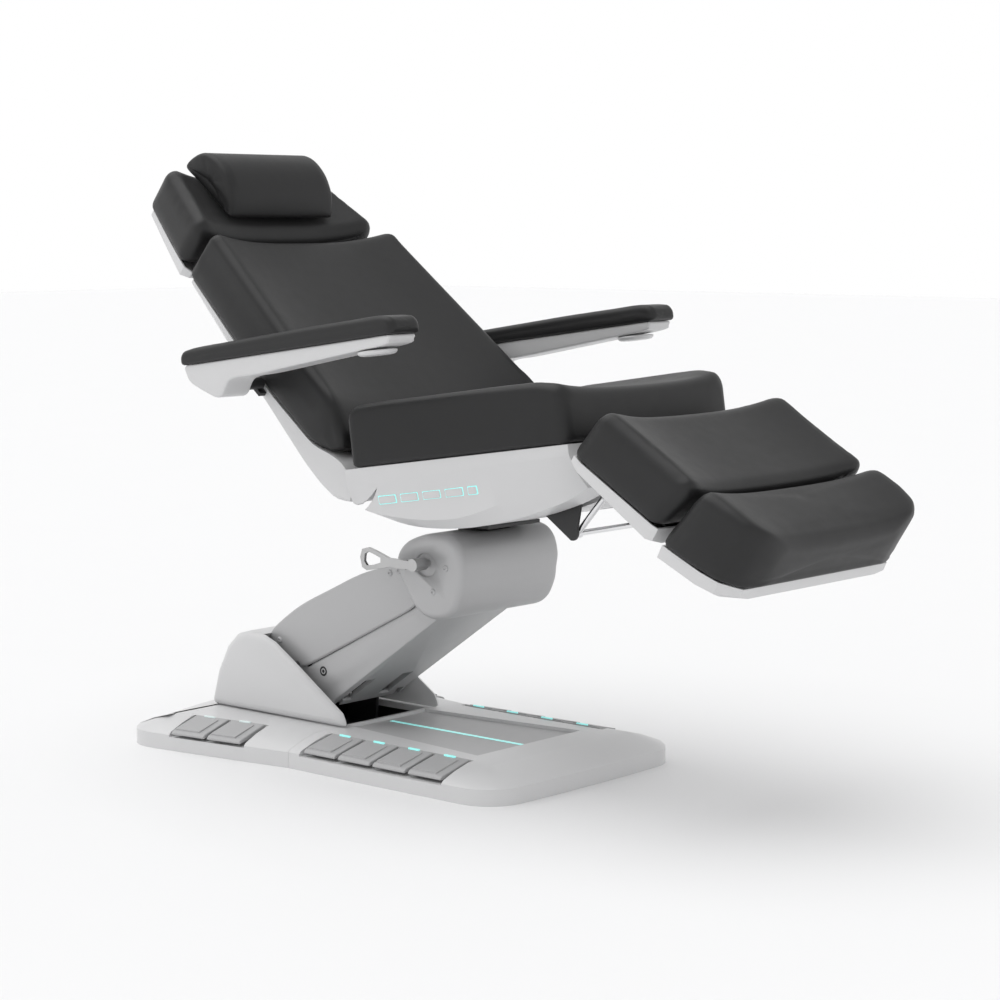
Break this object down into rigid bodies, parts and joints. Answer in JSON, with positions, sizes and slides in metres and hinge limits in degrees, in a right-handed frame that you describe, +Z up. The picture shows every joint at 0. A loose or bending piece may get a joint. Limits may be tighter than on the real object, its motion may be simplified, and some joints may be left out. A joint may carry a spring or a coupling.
{
  "type": "facial treatment bed",
  "caption": "Electric facial treatment bed: charcoal cushioned back, seat, leg and foot rests on a link lift column over a white base with foot pedals and a light strip.",
  "frame": {"origin": "on the floor, at the flat underside of the steel base plate, under the middle of the base", "axes": "+X towards the foot end, +Z up, -Y the side with the seat buttons and the lock lever"},
  "size_m": [1.7756, 0.934, 1.337],
  "materials": {
    "white_plastic": "satin moulded white ABS",
    "grey_plastic": "fine-textured grey ABS",
    "grey_metallic": "satin silver-grey paint",
    "charcoal_leather": "soft satin charcoal leatherette",
    "black_steel": "black powder coat",
    "chrome": "bright chrome plate",
    "satin_steel": "satin steel",
    "light_lens": "lit turquoise light guide"
  },
  "bodies": {
    "base": {"base_cover_front": "white_plastic", "base_cover_rear": "white_plastic", "base_frame": "black_steel", "pivot_tower": "black_steel", "pedestal_cover": "white_plastic", "recess_panel": "grey_plastic", "light_strip": "light_lens"},
    "lower_link": {"lower_link": "grey_metallic", "lift_actuator": "satin_steel"},
    "upper_link": {"upper_link": "grey_metallic"},
    "column_head": {"head_casing": "grey_metallic", "head_bracket": "black_steel"},
    "lock_lever": {"lock_lever": "satin_steel"},
    "swivel": {"turntable": "black_steel"},
    "seat": {"seat_frame": "black_steel", "seat_shell": "white_plastic", "seat_cushion": "charcoal_leather"},
    "back": {"back_frame": "black_steel", "back_shell": "white_plastic", "back_cushion": "charcoal_leather"},
    "headrest": {"headrest_shell": "white_plastic", "headrest_cushion": "charcoal_leather", "neck_pillow": "charcoal_leather"},
    "arm_near": {"arm_near": "white_plastic", "arm_pad_near": "charcoal_leather"},
    "arm_far": {"arm_far": "white_plastic", "arm_pad_far": "charcoal_leather"},
    "arm_knob_near": {"arm_knob_near": "white_plastic"},
    "arm_knob_far": {"arm_knob_far": "white_plastic"},
    "leg_rest": {"calf_frame": "black_steel", "calf_shell": "white_plastic", "calf_cushion": "charcoal_leather"},
    "leg_strut": {"leg_strut": "chrome"},
    "foot_rest": {"foot_shell": "white_plastic", "foot_cushion": "charcoal_leather", "foot_slide": "satin_steel"},
    "pedal_near_1": {"pedal_near_1": "grey_plastic"},
    "pedal_near_2": {"pedal_near_2": "grey_plastic"},
    "pedal_near_3": {"pedal_near_3": "grey_plastic"},
    "pedal_near_4": {"pedal_near_4": "grey_plastic"},
    "pedal_near_rear_1": {"pedal_near_rear_1": "grey_plastic"},
    "pedal_near_rear_2": {"pedal_near_rear_2": "grey_plastic"},
    "pedal_far_1": {"pedal_far_1": "grey_plastic"},
    "pedal_far_2": {"pedal_far_2": "grey_plastic"},
    "pedal_far_3": {"pedal_far_3": "grey_plastic"},
    "pedal_far_4": {"pedal_far_4": "grey_plastic"},
    "pedal_far_rear_1": {"pedal_far_rear_1": "grey_plastic"},
    "pedal_far_rear_2": {"pedal_far_rear_2": "grey_plastic"},
    "seat_button_1": {"seat_button_1": "white_plastic"},
    "seat_button_2": {"seat_button_2": "white_plastic"},
    "seat_button_3": {"seat_button_3": "white_plastic"},
    "seat_button_4": {"seat_button_4": "white_plastic"},
    "seat_button_5": {"seat_button_5": "white_plastic"}
  },
  "joints": [
    {"name": "pedal_near_1_press", "type": "hinge", "parent": "base", "child": "pedal_near_1", "pos_m": [0.046, -0.217, 0.064], "axis": [1, 0, 0], "range_deg": [0, 2.2], "stiffness_Nm_per_rad": 20, "springref_deg": -5.73},
    {"name": "pedal_near_2_press", "type": "hinge", "parent": "base", "child": "pedal_near_2", "pos_m": [0.1496, -0.217, 0.064], "axis": [1, 0, 0], "range_deg": [0, 2.2], "stiffness_Nm_per_rad": 20, "springref_deg": -5.73},
    {"name": "pedal_near_3_press", "type": "hinge", "parent": "base", "child": "pedal_near_3", "pos_m": [0.2532, -0.217, 0.064], "axis": [1, 0, 0], "range_deg": [0, 2.2], "stiffness_Nm_per_rad": 20, "springref_deg": -5.73},
    {"name": "pedal_near_4_press", "type": "hinge", "parent": "base", "child": "pedal_near_4", "pos_m": [0.3568, -0.217, 0.064], "axis": [1, 0, 0], "range_deg": [0, 2.2], "stiffness_Nm_per_rad": 20, "springref_deg": -5.73},
    {"name": "pedal_near_rear_1_press", "type": "hinge", "parent": "base", "child": "pedal_near_rear_1", "pos_m": [-0.335, -0.26935, 0.064], "axis": [0.9898, 0.1426, 0], "range_deg": [0, 2.2], "stiffness_Nm_per_rad": 20, "springref_deg": -5.73},
    {"name": "pedal_near_rear_2_press", "type": "hinge", "parent": "base", "child": "pedal_near_rear_2", "pos_m": [-0.233, -0.25465, 0.064], "axis": [0.9898, 0.1426, 0], "range_deg": [0, 2.2], "stiffness_Nm_per_rad": 20, "springref_deg": -5.73},
    {"name": "pedal_far_1_press", "type": "hinge", "parent": "base", "child": "pedal_far_1", "pos_m": [0.046, 0.217, 0.064], "axis": [-1, 0, 0], "range_deg": [0, 2.2], "stiffness_Nm_per_rad": 20, "springref_deg": -5.73},
    {"name": "pedal_far_2_press", "type": "hinge", "parent": "base", "child": "pedal_far_2", "pos_m": [0.1496, 0.217, 0.064], "axis": [-1, 0, 0], "range_deg": [0, 2.2], "stiffness_Nm_per_rad": 20, "springref_deg": -5.73},
    {"name": "pedal_far_3_press", "type": "hinge", "parent": "base", "child": "pedal_far_3", "pos_m": [0.2532, 0.217, 0.064], "axis": [-1, 0, 0], "range_deg": [0, 2.2], "stiffness_Nm_per_rad": 20, "springref_deg": -5.73},
    {"name": "pedal_far_4_press", "type": "hinge", "parent": "base", "child": "pedal_far_4", "pos_m": [0.3568, 0.217, 0.064], "axis": [-1, 0, 0], "range_deg": [0, 2.2], "stiffness_Nm_per_rad": 20, "springref_deg": -5.73},
    {"name": "pedal_far_rear_1_press", "type": "hinge", "parent": "base", "child": "pedal_far_rear_1", "pos_m": [-0.335, 0.26935, 0.064], "axis": [-0.9898, 0.1426, 0], "range_deg": [0, 2.2], "stiffness_Nm_per_rad": 20, "springref_deg": -5.73},
    {"name": "pedal_far_rear_2_press", "type": "hinge", "parent": "base", "child": "pedal_far_rear_2", "pos_m": [-0.233, 0.25465, 0.064], "axis": [-0.9898, 0.1426, 0], "range_deg": [0, 2.2], "stiffness_Nm_per_rad": 20, "springref_deg": -5.73},
    {"name": "lift", "type": "hinge", "parent": "base", "child": "lower_link", "pos_m": [-0.128, 0, 0.178], "axis": [0, -1, 0], "range_deg": [-24, 9]},
    {"name": "upper_link_turn", "type": "hinge", "parent": "base", "child": "upper_link", "pos_m": [-0.188, 0, 0.228], "axis": [0, -1, 0], "range_deg": [-24, 9]},
    {"name": "head_level", "type": "hinge", "parent": "lower_link", "child": "column_head", "pos_m": [0.245, 0, 0.4], "axis": [0, -1, 0], "range_deg": [-9, 24]},
    {"name": "lock_lever_turn", "type": "hinge", "parent": "column_head", "child": "lock_lever", "pos_m": [0.23, -0.2, 0.462], "axis": [0, -1, 0], "range_deg": [0, 60]},
    {"name": "swivel_turn", "type": "hinge", "parent": "column_head", "child": "swivel", "pos_m": [0.235, 0, 0.536], "axis": [0, 0, 1], "range_deg": [-120, 120]},
    {"name": "seat_tilt", "type": "hinge", "parent": "swivel", "child": "seat", "pos_m": [0.262, 0, 0.585], "axis": [0, -1, 0], "range_deg": [-8.5, 6]},
    {"name": "seat_button_1_press", "type": "slide", "parent": "seat", "child": "seat_button_1", "axis": [0, 1, 0], "range_m": [0, 0.002], "stiffness_N_per_m": 400, "springref_m": -0.002},
    {"name": "seat_button_2_press", "type": "slide", "parent": "seat", "child": "seat_button_2", "axis": [0, 1, 0], "range_m": [0, 0.002], "stiffness_N_per_m": 400, "springref_m": -0.002},
    {"name": "seat_button_3_press", "type": "slide", "parent": "seat", "child": "seat_button_3", "axis": [0, 1, 0], "range_m": [0, 0.002], "stiffness_N_per_m": 400, "springref_m": -0.002},
    {"name": "seat_button_4_press", "type": "slide", "parent": "seat", "child": "seat_button_4", "axis": [0, 1, 0], "range_m": [0, 0.002], "stiffness_N_per_m": 400, "springref_m": -0.002},
    {"name": "seat_button_5_press", "type": "slide", "parent": "seat", "child": "seat_button_5", "axis": [0, 1, 0], "range_m": [0, 0.002], "stiffness_N_per_m": 400, "springref_m": -0.002},
    {"name": "back_recline", "type": "hinge", "parent": "seat", "child": "back", "pos_m": [0.163, 0, 0.685], "axis": [0, 1, 0], "range_deg": [-38, 14]},
    {"name": "headrest_tilt", "type": "hinge", "parent": "back", "child": "headrest", "pos_m": [-0.387, 0, 1.06], "axis": [0, 1, 0], "range_deg": [-30, 5]},
    {"name": "arm_near_flip", "type": "hinge", "parent": "back", "child": "arm_near", "pos_m": [-0.098, -0.422, 0.843], "axis": [0, -1, 0], "range_deg": [-45, 80]},
    {"name": "arm_knob_near_turn", "type": "hinge", "parent": "arm_near", "child": "arm_knob_near", "pos_m": [0.34023, -0.422, 0.92226], "axis": [-0.1392, 0, 0.9903], "range_deg": [0, 90]},
    {"name": "arm_far_flip", "type": "hinge", "parent": "back", "child": "arm_far", "pos_m": [-0.098, 0.422, 0.843], "axis": [0, -1, 0], "range_deg": [-45, 80]},
    {"name": "arm_knob_far_turn", "type": "hinge", "parent": "arm_far", "child": "arm_knob_far", "pos_m": [0.34023, 0.422, 0.92226], "axis": [-0.1392, 0, 0.9903], "range_deg": [0, 90]},
    {"name": "leg_rest_lift", "type": "hinge", "parent": "seat", "child": "leg_rest", "pos_m": [0.7355, 0, 0.7066], "axis": [0, 1, 0], "range_deg": [-40, 42]},
    {"name": "leg_strut_turn", "type": "hinge", "parent": "leg_rest", "child": "leg_strut", "pos_m": [0.68977, 0, 0.63963], "axis": [0, 1, 0], "range_deg": [-65, 62]},
    {"name": "foot_extend", "type": "slide", "parent": "leg_rest", "child": "foot_rest", "axis": [0.8526, 0, -0.5225], "range_m": [0, 0.1]}
  ],
  "couplings": [
    {"joint": "upper_link_turn", "follows": "lift", "ratio": 1},
    {"joint": "head_level", "follows": "lift", "ratio": -1},
    {"joint": "leg_strut_turn", "follows": "leg_rest_lift", "ratio": -1.53}
  ]
}
